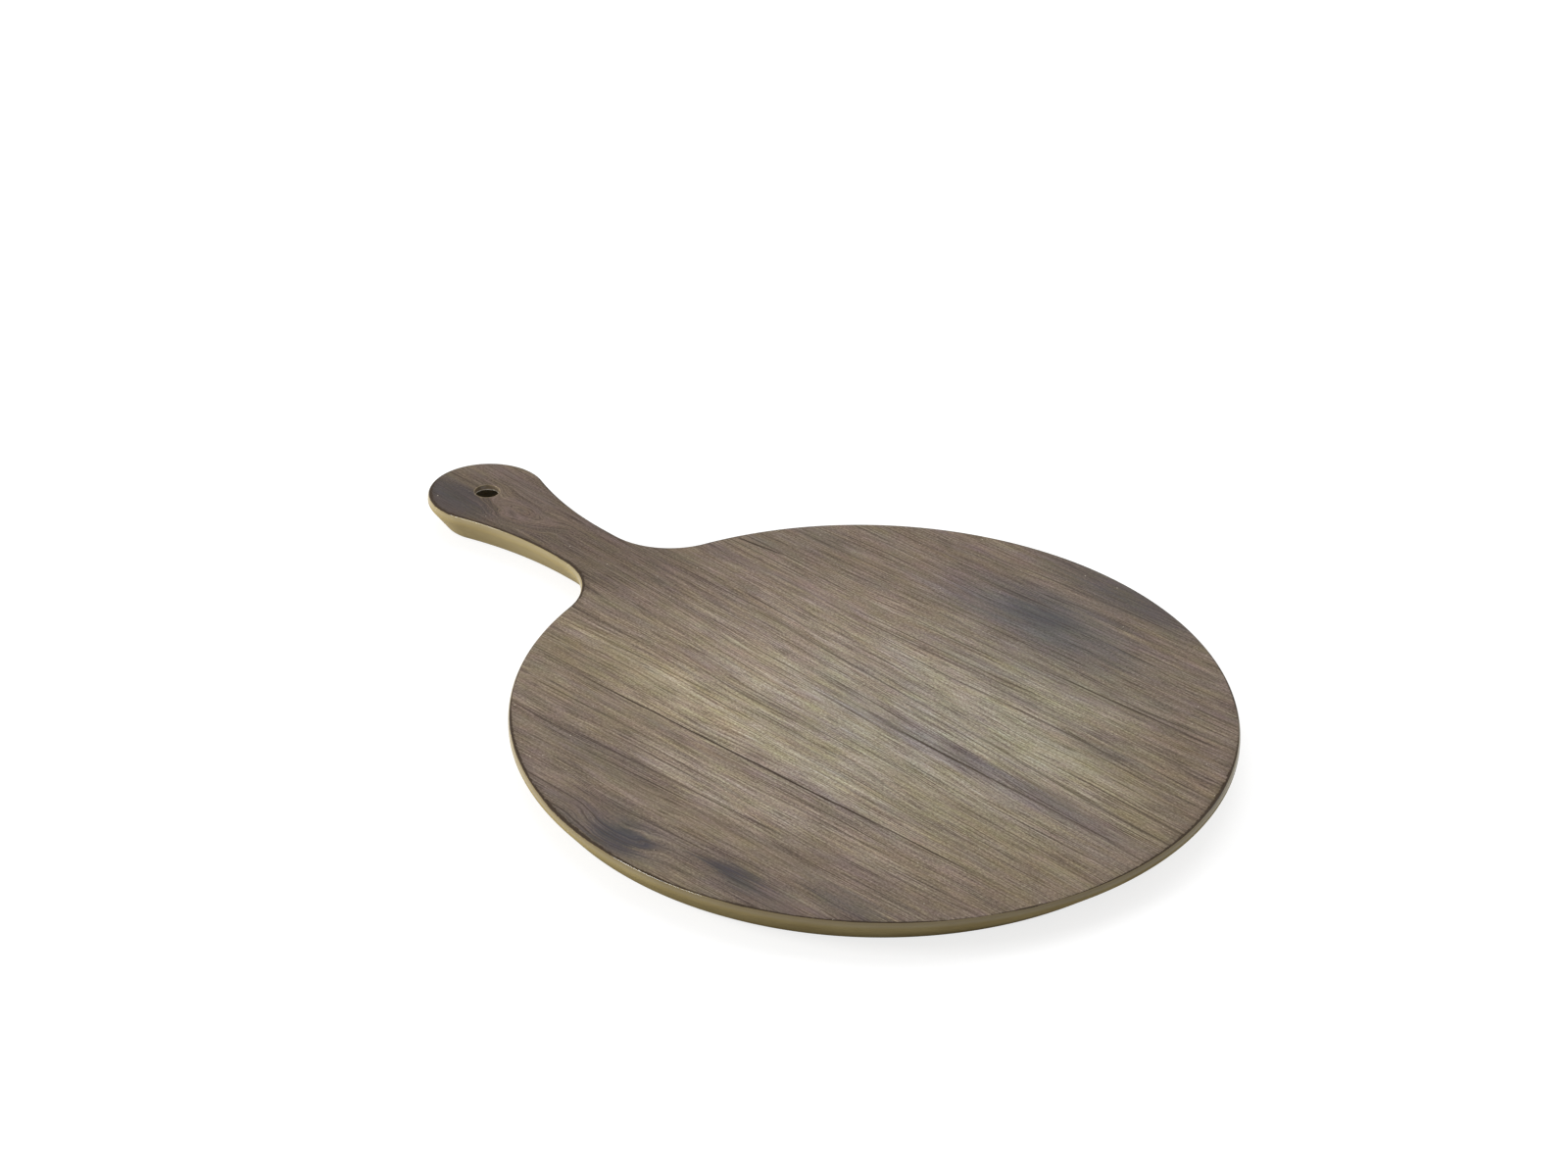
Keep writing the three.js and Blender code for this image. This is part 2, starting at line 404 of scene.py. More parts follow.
class Link:
    """A shader socket in a Python expression: arithmetic on it adds Math nodes to its tree."""

    def __init__(self, paint, socket):
        self.paint = paint
        self.socket = socket

    def of(self, output):
        """Another output of the same node."""
        return Link(self.paint, self.socket.node.outputs[output])

    def math(self, operation, *operands):
        """A Math node on this value and more."""
        sockets = dict(enumerate((self, *operands)))
        return self.paint.node("ShaderNodeMath", {"operation": operation}, sockets)

    def clamped(self):
        """This value kept from 0 to 1."""
        return self.paint.node("ShaderNodeClamp", {}, {"Value": self})

    def rise(self, low, high):
        """0 at low, 1 at high, and smooth between."""
        sockets = {"Value": self, "From Min": low, "From Max": high}
        return self.paint.node("ShaderNodeMapRange", {"interpolation_type": "SMOOTHSTEP"}, sockets)

    def __add__(self, other):
        return self.math("ADD", other)

    def __sub__(self, other):
        return self.math("SUBTRACT", other)

    def __mul__(self, other):
        return self.math("MULTIPLY", other)

    def __truediv__(self, other):
        return self.math("DIVIDE", other)

    def __rsub__(self, other):
        return self.paint.node("ShaderNodeMath", {"operation": "SUBTRACT"}, {0: other, 1: self})

    def __rtruediv__(self, other):
        return self.paint.node("ShaderNodeMath", {"operation": "DIVIDE"}, {0: other, 1: self})

    __radd__ = __add__
    __rmul__ = __mul__


class Paint:
    """The node tree of a material or a world, written node by node."""

    def __init__(self, owner):
        self.owner = owner
        owner.use_nodes = True
        self.tree = owner.node_tree
        self.tree.nodes.clear()

    def node(self, kind, settings, sockets, out=0):
        """A node of a kind: its settings first, then a value or a link for each named socket."""
        made = self.tree.nodes.new(kind)
        for key, setting in settings.items():
            if key == "stops":
                self.set_stops(made.color_ramp, setting)
            else:
                setattr(made, key, setting)
        for key, value in sockets.items():
            if isinstance(value, Link):
                self.tree.links.new(value.socket, made.inputs[key])
            else:
                made.inputs[key].default_value = value
        return Link(self, made.outputs[out]) if made.outputs else made

    @staticmethod
    def set_stops(ramp, stops):
        """A ramp's stops, as pairs of a place and a colour."""
        while len(ramp.elements) < len(stops):
            ramp.elements.new(1.0)
        for element, (place, colour) in zip(ramp.elements, stops):
            element.position = place
            element.color = (*colour, 1.0)

    def vector(self, x, y, z=0.0):
        """A vector from three values."""
        return self.node("ShaderNodeCombineXYZ", {}, {"X": x, "Y": y, "Z": z})

    def noise(self, place, detail, roughness):
        """Noise from 0 to 1, one swell for each unit of the place."""
        sockets = {"Vector": place, "Scale": 1.0, "Detail": detail, "Roughness": roughness}
        return self.node("ShaderNodeTexNoise", {}, sockets)

    def swells(self, field, x, y, z=0.0):
        """Noise from 0 to 1 at a place in millimetres, by a field's swells for each millimetre."""
        place = self.vector(x * field.along, y * field.across, z * field.up + field.seed)
        return self.noise(place, field.detail, field.roughness)

    def mix(self, share, first, second):
        """A colour between two, by share."""
        colours = [c if isinstance(c, Link) else (*c, 1.0) for c in (first, second)]
        sockets = {"Factor": share, 6: colours[0], 7: colours[1]}
        return self.node("ShaderNodeMix", {"data_type": "RGBA"}, sockets, out=2)

    def millimetres(self):
        """The piece's own X, Y and Z in millimetres."""
        place = self.node("ShaderNodeTexCoord", {}, {}, out="Object")
        parts = self.node("ShaderNodeSeparateXYZ", {}, {"Vector": place})
        return [parts.of(axis) * MM for axis in "XYZ"]

    def relief(self, height, depth, strength):
        """A normal that follows a height, whose full swing is depth in metres."""
        sockets = {"Height": height, "Distance": depth, "Strength": strength}
        return self.node("ShaderNodeBump", {}, sockets)

    def finish(self, sockets):
        """A Principled surface with these sockets, as the material's output."""
        surface = self.node("ShaderNodeBsdfPrincipled", {}, sockets)
        self.node("ShaderNodeOutputMaterial", {}, {"Surface": surface})
        return self.owner


# Noise: swells for each millimetre along X, Y and Z, where it starts on Z, finer octaves and their weight
Field = namedtuple("Field", "along across up seed detail roughness")
# Of the print: the grain's bends, its speckle, its casts of colour, and its ragged edge
WAVER = Field(0.009, 0.03, 0.0, 0.0, 1.0, 0.5)
RIPPLE = Field(0.05, 0.16, 0.0, 7.0, 2.0, 0.5)
SPECKLE = Field(0.8, 1.1, 0.0, 5.0, 2.0, 0.7)
WOOD_CAST = Field(0.008, 0.05, 0.0, 13.0, 2.0, 0.5)
INK_MOTTLE = Field(0.1, 0.1, 0.0, 17.0, 2.0, 0.5)
INK_FLICKER = Field(0.04, 0.2, 0.0, 19.0, 2.0, 0.65)
PRINT_EDGE = Field(0.5, 0.5, 0.0, 6.0, 3.0, 0.7)
# Of the print and the moulding: how far the burnt edge reaches
EDGE_REACH = Field(0.03, 0.03, 0.0, 6.0, 1.0, 0.5)
# Of the moulding: clouds, grit, its slightly uneven surface, and its ragged burnt line
CLOUD = Field(0.03, 0.03, 0.09, 0.0, 3.0, 0.6)
GRIT = Field(0.9, 0.9, 0.9, 0.0, 2.0, 0.5)
UNEVEN = Field(0.35, 0.35, 0.35, 0.0, 1.0, 0.5)
BURNT_LINE = Field(0.4, 0.4, 0.0, 2.0, 3.0, 0.7)

# Fine dark lines along the grain: hairlines, scratches and pores. A line starts at one value of its noise,
# and is full at another
Line = namedtuple("Line", "field start full strength")
FINE_LINES = (
    Line(Field(0.007, 0.62, 0.0, 21.0, 1.0, 0.5), 0.62, 0.7, 0.6),
    Line(Field(0.014, 1.7, 0.0, 25.0, 1.0, 0.5), 0.62, 0.68, 0.55),
    Line(Field(0.06, 1.1, 0.0, 9.0, 1.0, 0.5), 0.6, 0.7, 0.5),
)

# Full swing of the fine relief in the shaders, in metres
RELIEF_DEPTH = 0.0002

# Course of the grain: its slope on the middle line, what is added beside it, from where to where in mm, the
# point on X that it fans out from, and the width of an eye's rings as a share of their length
GRAIN_SLOPE = -0.012
GRAIN_FAN = 0.077
GRAIN_FAN_FROM = 10
GRAIN_FAN_TO = 75
GRAIN_FAN_CENTRE = 60
EYE_STRETCH = 0.36

# Grain from broad bands to single threads: a swell's length and width in mm, and its share of the tone
Layer = namedtuple("Layer", "length width share")
GRAIN_LAYERS = (
    Layer(220, 14, 0.09),
    Layer(125, 3.2, 0.1),
    Layer(58, 1.1, 0.15),
    Layer(26, 0.55, 0.38),
)

# Ovals of the print, in mm: middle, half length on X, half width on Y, strength. First the smoky stains,
# then what makes the wood paler or, below zero, darker; the broad pale oval over the middle is also painted
# sheen
Patch = namedtuple("Patch", "x y length width strength")
SMOKE_PATCHES = (
    Patch(62, -140, 11, 8, 0.3),
    Patch(60, -141, 18, 11, 0.55),
    Patch(52, -141, 40, 19, 0.5),
    Patch(110, -127, 20, 8, 0.55),
    Patch(116, -128, 38, 14, 0.38),
    Patch(60, 108, 26, 11, 0.35),
    Patch(68, 106, 62, 25, 0.44),
    Patch(82, 148, 72, 20, 0.78),
    Patch(62, 92, 56, 16, 0.14),
    Patch(156, -108, 30, 11, 0.6),
    Patch(10, -110, 38, 13, 0.22),
    Patch(124, -3, 90, 5, 0.38),
    Patch(152, 43, 30, 5, 0.32),
    Patch(-52, 84, 30, 9, 0.3),
    Patch(-64, 59, 20, 6, 0.3),
    Patch(-199, -19, 34, 19, 0.72),
    Patch(100, -68, 28, 7, 0.12),
    Patch(130, 106, 90, 30, 0.05),
)
TONE_AND_SHEEN_PATCHES = (
    # The print's paler middle, which is also a painted sheen of light on the satin face
    Patch(62, -8, 165, 98, 0.6),
    Patch(-150, 0, 105, 50, -0.5),
    Patch(-199, -19, 36, 22, -0.4),
    Patch(-66, 12, 36, 40, -0.18),
    Patch(4, -58, 54, 24, 0.17),
    Patch(60, -44, 75, 12, 0.25),
    Patch(85, 34, 66, 14, 0.36),
    Patch(118, 14, 66, 12, 0.24),
    Patch(134, -20, 60, 10, 0.15),
    Patch(66, -90, 60, 15, 0.45),
    Patch(150, 26, 50, 9, 0.3),
    Patch(28, -22, 44, 9, 0.24),
    Patch(100, 62, 70, 13, 0.2),
    Patch(-30, -52, 60, 14, 0.06),
    Patch(-24, 16, 46, 30, -0.14),
    Patch(112, 64, 66, 26, 0.17),
    Patch(110, -74, 90, 26, 0.07),
    Patch(-46, -30, 40, 16, -0.1),
    Patch(20, 122, 56, 16, -0.12),
)
# Eyes that the grain flows round: the knot by the rim, and the curl beside the hang hole
GRAIN_EYES = (
    Patch(57, -142, 30, 16, 0.12),
    Patch(-163, 0, 30, 15, 0.9),
)
# Stretches of the edge where the burnt border is wide
BURNT_PATCHES = (
    Patch(-135, -22, 76, 19, 2.2),
    Patch(-205, -20, 26, 20, 1.6),
    Patch(24, -138, 95, 44, 1.9),
    Patch(150, -120, 62, 52, 1.2),
    Patch(206, 40, 42, 84, 2.0),
)
# Where the print leans to green, and where it leans to yellow or, below zero, to blue
GREEN_PATCHES = (
    Patch(108, 8, 100, 84, 0.85),
    Patch(40, -45, 70, 40, 0.1),
    Patch(88, 82, 84, 38, 0.9),
    Patch(64, 107, 48, 22, 1.2),
)
YELLOW_PATCHES = (
    Patch(-4, -56, 105, 40, 0.95),
    Patch(175, -48, 78, 36, 0.8),
    Patch(192, 40, 52, 52, 0.7),
    Patch(118, -3, 92, 9, -1.5),
    Patch(90, -64, 80, 12, -1.0),
    Patch(62, 100, 74, 30, -1.6),
    Patch(60, 10, 66, 46, -0.4),
)

# Long dark lines of the print, in millimetres: the two ends, and the strength
Seam = namedtuple("Seam", "x_from y_from x_to y_to strength")
SEAMS = (
    Seam(-69, -76, 205, -55, 1.0),
    Seam(84, 72, 192, 80, 0.8),
    Seam(-58, -90, 30, -84, 0.6),
    Seam(-24, -106, 120, -92, 0.7),
    Seam(-30, 18, 214, 11, 0.6),
    Seam(60, -7, 216, -2, 0.9),
    Seam(-80, 55, -50, 60, 0.8),
    Seam(-80, -48, 20, -42, 0.5),
    Seam(-60, -4, 140, -6, 0.4),
    Seam(120, 45, 205, 40, 0.4),
    Seam(60, -34, 140, -42, 0.35),
)
# Half width of such a line, and the shares of it that are full on and of its length that fade at each end
SEAM_HALF_WIDTH = 0.8
SEAM_CORE = 0.3
SEAM_FADE = 0.2
# How softly a patch levels off in its middle
PATCH_SOFTNESS = 0.2
# Voronoi cells for each millimetre, of which a few hold a bright speck: a painted glint of light
GLINT_CELLS = 0.3


def distance(x, y):
    """Distance from the origin: sqrt(x^2 + y^2)."""
    return (x * x + y * y).math("SQRT")


def from_hole(plan, x, y):
    """Millimetres from the hang hole's edge."""
    return distance(x - MM * hole_centre(plan), y) - MM * plan.hole_radius


def oval(x, y, patch):
    """1 - (dx/length)^2 - (dy/width)^2 inside an oval, and 0 outside."""
    along = x.math("MULTIPLY_ADD", 1 / patch.length, -patch.x / patch.length)
    across = y.math("MULTIPLY_ADD", 1 / patch.width, -patch.y / patch.width)
    return (1 - (along * along + across * across)).math("MAXIMUM", 0.0)


def patch_sum(x, y, patches):
    """Sum of soft ovals, each by its strength."""
    total = 0.0
    for patch in patches:
        total = oval(x, y, patch).math("SMOOTH_MIN", 1.0, PATCH_SOFTNESS) * patch.strength + total
    return total


def eyed_grain(x, y, v, eyes, stretch):
    """Grain that closes into long rings round each eye.

    The distance v across the grain turns into the distance from the eye, the more so the nearer it is.
    """
    for eye in eyes:
        ring = distance((x - eye.x) * stretch, y - eye.y)
        v = v + (ring - v) * (oval(x, y, eye) * eye.strength).rise(0.0, 0.95)
    return v


def seam_sum(x, y, seams, half_width):
    """Strongest of some straight dark lines, each fading out at both ends."""
    total = 0.0
    for seam in seams:
        run = seam.x_to - seam.x_from
        share = x.math("MULTIPLY_ADD", 1 / run, -seam.x_from / run)
        slope = (seam.y_to - seam.y_from) / run
        apart = (y - x.math("MULTIPLY_ADD", slope, seam.y_from - slope * seam.x_from)).math("ABSOLUTE")
        line = 1 - apart.rise(half_width * SEAM_CORE, half_width)
        ends = share.rise(0.0, SEAM_FADE) * (1 - share.rise(1 - SEAM_FADE, 1.0))
        total = (line * ends * seam.strength).math("MAXIMUM", total)
    return total


def grain_path(paint, x, y):
    """Distance across the grain, which climbs towards +Y beside the middle line, wavers and has eyes."""
    slope = y.math("ABSOLUTE").rise(GRAIN_FAN_FROM, GRAIN_FAN_TO) * GRAIN_FAN + GRAIN_SLOPE
    waver = paint.swells(WAVER, x, y) - 0.5
    ripple = paint.swells(RIPPLE, x, y) - 0.5
    straight = y - slope * (x - GRAIN_FAN_CENTRE) + waver * 7 + ripple * 0.5
    return eyed_grain(x + ripple * 14, y + ripple * 8, straight, GRAIN_EYES, EYE_STRETCH)


def grain(paint, x, v, layer, seed):
    """Streaks along the grain, from -0.5 to 0.5, with swells of the layer's length and width."""
    place = paint.vector(x / layer.length, v / layer.width, seed)
    return paint.noise(place, detail=2.0, roughness=0.65).rise(0.28, 0.72) - 0.5


def ink_cast(paint, x, y, v, patch_x, patch_y):
    """Factors of red, green and blue where the ink leans to green, yellow or blue, about equally bright."""
    mottle = (paint.swells(INK_MOTTLE, x, y) - 0.5) * 2
    flicker = paint.swells(INK_FLICKER, x, v).of("Color")
    shimmer = paint.node("ShaderNodeSeparateColor", {}, {"Color": flicker})
    green = patch_sum(patch_x, patch_y, GREEN_PATCHES) + mottle + (shimmer.of("Green") - 0.5) * 2.4
    yellow = patch_sum(patch_x, patch_y, YELLOW_PATCHES) + mottle + (shimmer.of("Blue") - 0.5) * 5
    return paint.vector(1 - green * 0.055, 1 + green * 0.019, 1 - yellow * 0.1)


def dark_lines(paint, x, y, v, streak, thread):
    """Strongest of the long seams, which the grain bends a little, and the fine lines along the grain."""
    seams = seam_sum(x, y + streak * 0.9 + thread * 0.4, SEAMS, SEAM_HALF_WIDTH)
    dark = seams * (0.9 + streak * 0.7)
    for line in FINE_LINES:
        fine = paint.swells(line.field, x, v).rise(line.start, line.full) * line.strength
        dark = dark.math("MAXIMUM", fine)
    return dark


def burnt_border(paint, x, y, ragged):
    """Share of the burnt border: a ragged strip of changing width, and a faint scorch inside it."""
    margin = paint.node("ShaderNodeAttribute", {"attribute_name": "margin"}, {}, out="Fac") * MM
    reach = paint.swells(EDGE_REACH, x, y).rise(0.35, 0.65)
    burnt = patch_sum(x, y, BURNT_PATCHES)
    width = ragged * (reach * 0.9 + 0.15 + burnt)
    border = 1 - (margin - width).rise(-0.25, 0.3)
    darkening = (1 - margin.rise(0.4, 4.8)) * burnt * 0.17
    return (border * 0.95).math("MAXIMUM", darkening)


def painted_glint_specks(paint, x, y):
    """Painted glints: 1 in the middle of a few Voronoi cells, picked by the cells' own colours, and 0
    elsewhere.
    """
    place = paint.vector(x * GLINT_CELLS, y * GLINT_CELLS)
    cell = paint.node("ShaderNodeTexVoronoi", {}, {"Vector": place, "Scale": 1.0})
    rare = paint.node("ShaderNodeSeparateColor", {}, {"Color": cell.of("Color")}).rise(0.93, 0.95)
    return (1 - cell.rise(0.06, 0.11)) * rare


def wood_print_material(plan, colours):
    """Wood-effect print with a satin finish: grain along X, stains, pale patches with painted sheen, a
    burnt border, glints.
    """
    paint = Paint(bpy.data.materials.new("wood_print"))
    x, y, _ = paint.millimetres()
    v = grain_path(paint, x, y)
    grains = [grain(paint, x, v, layer, seed) for seed, layer in enumerate(GRAIN_LAYERS)]
    band, streak, fibre, thread = grains
    speckle = paint.swells(SPECKLE, x, y) - 0.5
    # Pale and smoky patches have edges that follow the grain
    patch_x = x + streak * 12 + fibre * 8
    patch_y = y + streak * 4 + band * 6
    # Paler tone: partly the print, partly painted sheen over the board's middle
    pale = patch_sum(patch_x, patch_y, TONE_AND_SHEEN_PATCHES) + 0.1
    smoke = patch_sum(patch_x, patch_y, SMOKE_PATCHES).clamped()
    figure = speckle * 0.95
    for layer, swell in zip(GRAIN_LAYERS, grains):
        figure = figure + swell * layer.share
    tone = pale * 0.34 + 0.32 + figure * (pale * 0.45 + 0.7)
    stops = (
        (0.0, colours.wood_dark),
        (0.28, colours.wood_brown),
        (0.48, colours.wood_mid),
        (0.7, colours.wood_light),
        (1.0, colours.wood_pale),
    )
    wood = paint.node("ShaderNodeValToRGB", {"stops": stops}, {"Fac": tone})
    # Bands of wood lean to mauve or to olive, then come the smoky stains and the ink's own cast
    cast = paint.swells(WOOD_CAST, x, v)
    mauve = paint.mix(cast.rise(0.5, 0.72) * 0.4, wood, colours.mauve)
    toned = paint.mix((1 - cast.rise(0.28, 0.5)) * 0.25, mauve, colours.olive)
    smoky = paint.mix((smoke * (0.9 + fibre * 0.4)).clamped(), toned, colours.smoke)
    ink = ink_cast(paint, x, y, v, patch_x, patch_y)
    stained = paint.node("ShaderNodeVectorMath", {"operation": "MULTIPLY"}, {0: smoky, 1: ink})
    # On top lie the dark lines, the burnt border, bare chips round the hole and a few bright specks painted
    # as glints of light
    dark = dark_lines(paint, x, y, v, streak, thread)
    grained = paint.mix(dark.clamped(), stained, colours.wood_dark)
    ragged = paint.swells(PRINT_EDGE, x, y)
    edged = paint.mix(burnt_border(paint, x, y, ragged), grained, colours.burnt_edge)
    chipped = 1 - (from_hole(plan, x, y) - ragged * 1.1).rise(-0.55, 0.0)
    chip_edge = paint.mix(chipped * 0.35, edged, colours.chip)
    colour = paint.mix(painted_glint_specks(paint, x, y) * 0.7, chip_edge, colours.wood_pale)
    height = fibre * 0.5 + thread * 0.4 - dark * 0.6 + speckle * 0.5
    return paint.finish(
        {
            "Base Color": colour,
            "Roughness": (0.5 + fibre * 0.12 - smoke * 0.05).clamped(),
            "Normal": paint.relief(height, RELIEF_DEPTH, 0.3),
            "Specular IOR Level": 0.08,
        }
    )


def tan_melamine_material(plan, section, colours):
    """Tan moulding: faint clouds, painted shade on the board's edge, a burnt line under the print, a
    painted glint on the hole's lip, a polished edge and a foot darker towards the table.
    """
    paint = Paint(bpy.data.materials.new("tan_melamine"))
    x, y, z = paint.millimetres()
    top = MM * section.thickness
    deck_foot = MM * (section.print_level - section.deck_thickness)
    cloud = paint.swells(CLOUD, x, y, z)
    grit = paint.swells(GRIT, x, y, z)
    uneven = paint.swells(UNEVEN, x, y, z)
    ragged = paint.swells(BURNT_LINE, x, y)
    tan = paint.mix(cloud.rise(0.3, 0.75), colours.tan, colours.tan_deep)
    fleck = paint.mix(grit.rise(0.66, 0.8) * 0.3, tan, colours.tan_deep)
    # Painted shade: the board's rounded edge is darkened to brown, up to a ragged burnt line under the
    # print
    darkening = z.rise(top - 2.4, top - 0.3) * x.rise(-80, 20) * 0.6
    edge_shaded = paint.mix(darkening, fleck, colours.shaded_edge)
    reach = paint.swells(EDGE_REACH, x, y).rise(0.4, 0.75)
    burnt = (z + ragged * reach * 0.9).rise(top - 0.12, top + 0.12)
    edged = paint.mix(burnt, edge_shaded, colours.burnt_edge)
    # The hole's wall is stained, down to its lower lip: pale flash, made near-white as a painted highlight
    # of its glint
    near_hole = 1 - from_hole(plan, x, y).rise(0.05, 0.2)
    above_lip = (z + ragged * 0.7).rise(deck_foot + 0.55, deck_foot + 0.8)
    stained = paint.mix(near_hole * above_lip * 0.85, edged, colours.wood_mid)
    lip = near_hole * (1 - above_lip) * z.rise(deck_foot - 0.1, deck_foot)
    lined = paint.mix(lip, stained, colours.flash)
    # The mould's polish is on the rounded edge and faint on the handle's wall; the foot is rougher and
    # darker towards the table in mottled patches
    polish = z.rise(top - 2.8, top - 1.2)
    handle_polish = 1 - x.rise(-100, -50)
    foot = (1 - z.rise(0.1, 1.6)) * grit.rise(0.35, 0.6)
    foot_darkened = paint.mix(foot * 0.35, lined, colours.burnt_edge)
    return paint.finish(
        {
            "Base Color": foot_darkened,
            "Roughness": 0.3 + cloud * 0.1 + foot * 0.25,
            "Normal": paint.relief(uneven + grit * 0.2, RELIEF_DEPTH, 0.04),
            "Specular IOR Level": 0.0,
            "Coat Weight": polish * 0.9 + handle_polish * 0.1,
            "Coat Roughness": 0.07,
        }
    )


def wall_section(section):
    """Rings of the moulding from the print's edge down, under and up to the deck.

    A ring is its height, its share of the undercut and its inset. Straight stretches join at corners, and
    a corner is the curve (1-t)^2 a + 2t(1-t) c + t^2 b between the points a and b on its two legs. The top
    edge is a quarter ellipse.
    """
    turn = np.linspace(section.print_lap, np.pi / 2, EDGE_STEPS)
    band_top = section.thickness - section.edge_depth
    band_foot = band_top - section.band_height
    ceiling = section.print_level - section.deck_thickness
    edge = np.stack(
        [
            band_top + section.edge_depth * np.cos(turn),
            0 * turn,
            section.edge_width * (1 - np.sin(turn)),
        ],
        axis=-1,
    )
    skirt_share = 1 - section.base_chamfer / band_foot
    hollow_inset = section.rim_width + section.hollow_draft
    corners = np.array(
        [
            (band_top, 0, 0),
            (band_foot, 0, 0),
            (section.base_chamfer, skirt_share, 0),
            (0, 1, section.base_chamfer),
            (0, 1, section.rim_width),
            (ceiling, 1, hollow_inset),
            (ceiling, 1, hollow_inset + 2 * section.hollow_fillet),
        ]
    )
    softness = (section.bend_softness, *[section.foot_softness] * 3, section.hollow_fillet)
    stretch = np.array([1, section.board_undercut, 1])
    t = np.linspace(0, 1, CORNER_STEPS)[:, None]
    steps = np.linspace(0, 1, WALL_STEPS + 2)[1:-1, None]
    rings = [edge]
    last = edge[-1]
    for before, corner, after, reach in zip(corners, corners[1:], corners[2:], softness):
        back, ahead = before - corner, after - corner
        a = corner + back * min(reach / np.linalg.norm(back * stretch), CORNER_SHARE)
        b = corner + ahead * min(reach / np.linalg.norm(ahead * stretch), CORNER_SHARE)
        rings.append(last + (a - last) * steps)
        rings.append((1 - t) ** 2 * a + 2 * t * (1 - t) * corner + t**2 * b)
        last = b
    rings.append(corners[-1:])
    return np.concatenate(rings)


def section_outlines(plan, section, rings):
    """Half outlines and heights of the section's rings.

    The undercut share draws in the board and the handle by their own sizes, and shifts the board.
    """
    z, share, inset = rings.T
    board = share * section.board_undercut + inset
    handle = share * section.handle_undercut + inset
    return half_outline(plan, board, handle, share * section.base_shift), z


def hole_wall(plan, top, bottom):
    """Wall of the hang hole, with a ragged lip of flash at its lower edge.

    Radius r - lip(a) s^p at the share s of the depth, where lip is a width plus sines of the angle a. The
    first and the last ring have no lip, because the deck and the ceiling meet them.
    """
    angle = hole_angles(plan)
    lip = FLASH_WIDTH + sum(wave.height * np.sin(wave.count * angle + wave.phase) for wave in FLASH_WAVES)
    share = np.linspace(0, 1, HOLE_RINGS)[:, None]
    bite = np.where((share > 0) & (share < 1), share**FLASH_POWER, 0) * lip
    points = hole_circle(plan, plan.hole_radius - bite)
    return even_grid(level(points, top + (bottom - top) * share), wrap=True, flip=True)


def moulded_body_grids(plan, section):
    """Deck under the print, wall section carried round the outline, ceiling of the hollow and hole wall."""
    rings = wall_section(section)
    seat = np.array([[section.print_level, 0, section.edge_width]])
    rings = np.concatenate([seat, rings])
    halves, z = section_outlines(plan, section, rings)
    skin = level(closed_outline(halves), z[:, None])
    deck = face_grids(plan, halves[0], z[0], flip=False)
    ceiling = face_grids(plan, halves[-1], z[-1], flip=True)
    wall = even_grid(skin, wrap=True, flip=False)
    return [wall, *deck, *ceiling, hole_wall(plan, z[0], z[-1])]


def wood_print_grids(plan, section):
    """Printed sheet: underside, rounded edge, worn margin, face and the hole through it."""
    turn = np.linspace(section.print_lap, 0, CORNER_STEPS)
    lap_inset = section.edge_width * (1 - np.sin(turn))
    lap_z = section.thickness - section.edge_depth * (1 - np.cos(turn))
    margin = np.linspace(0, 1, MARGIN_STEPS + 1)[1:] ** MARGIN_POWER * section.print_margin
    inset = np.concatenate([[section.edge_width], lap_inset, lap_inset[-1] + margin])
    z = np.concatenate([[section.print_level], lap_z, np.full(margin.shape, section.thickness)])
    halves = half_outline(plan, inset, inset, 0 * inset)
    skin = level(closed_outline(halves), z[:, None])
    depth = np.broadcast_to(np.maximum(inset - lap_inset[0], 0)[:, None], skin.shape[:2])
    inner = inset[-1] - lap_inset[0]
    top = face_grids(plan, halves[-1], z[-1], flip=False, margin=inner)
    under = face_grids(plan, halves[0], z[0], flip=True, margin=inner)
    circle = np.stack([hole_circle(plan, plan.hole_radius)] * 2)
    heights = np.array([[section.thickness], [section.print_level]])
    wall = even_grid(level(circle, heights), wrap=True, flip=True, margin=inner)
    return [Grid(skin, wrap=True, flip=True, margin=depth), *top, *under, wall]


class PADDLE_OT_moulded_body(Operator):
    """Tan melamine moulding: edge, undercut skirt, rim and hollow underside"""

    bl_idname = "paddle.moulded_body"
    bl_label = "Moulded Body"

    def execute(self, context):
        plan, section = context.scene.paddle_plan, context.scene.paddle_section
        material = tan_melamine_material(plan, section, context.scene.paddle_colours)
        grids = moulded_body_grids(plan, section)
        make_piece("tan_moulding", grids, material, ["moulded_body"])
        return {"FINISHED"}


class PADDLE_OT_wood_print(Operator):
    """Wood-effect print on the deck, with the clear glaze as its satin finish"""

    bl_idname = "paddle.wood_print"
    bl_label = "Wood Print"

    def execute(self, context):
        plan, section = context.scene.paddle_plan, context.scene.paddle_section
        material = wood_print_material(plan, context.scene.paddle_colours)
        grids = wood_print_grids(plan, section)
        make_piece("printed_face", grids, material, ["wood_print_sheet", "clear_glaze"])
        return {"FINISHED"}


def camera_axes(stage):
    """Rows are the paddle's X, Y and Z in the camera's right, down and forward directions."""
    up = np.array(
        [
            math.sin(stage.roll) * math.cos(stage.pitch),
            -math.cos(stage.roll) * math.cos(stage.pitch),
            -math.sin(stage.pitch),
        ]
    )
    right = np.array([1.0, 0.0, 0.0])
    right -= (right @ up) * up
    right /= np.linalg.norm(right)
    away = np.cross(up, right)
    handle = math.cos(stage.bearing) * right + math.sin(stage.bearing) * away
    side = -math.sin(stage.bearing) * right + math.cos(stage.bearing) * away
    return np.array([-handle, -side, up])


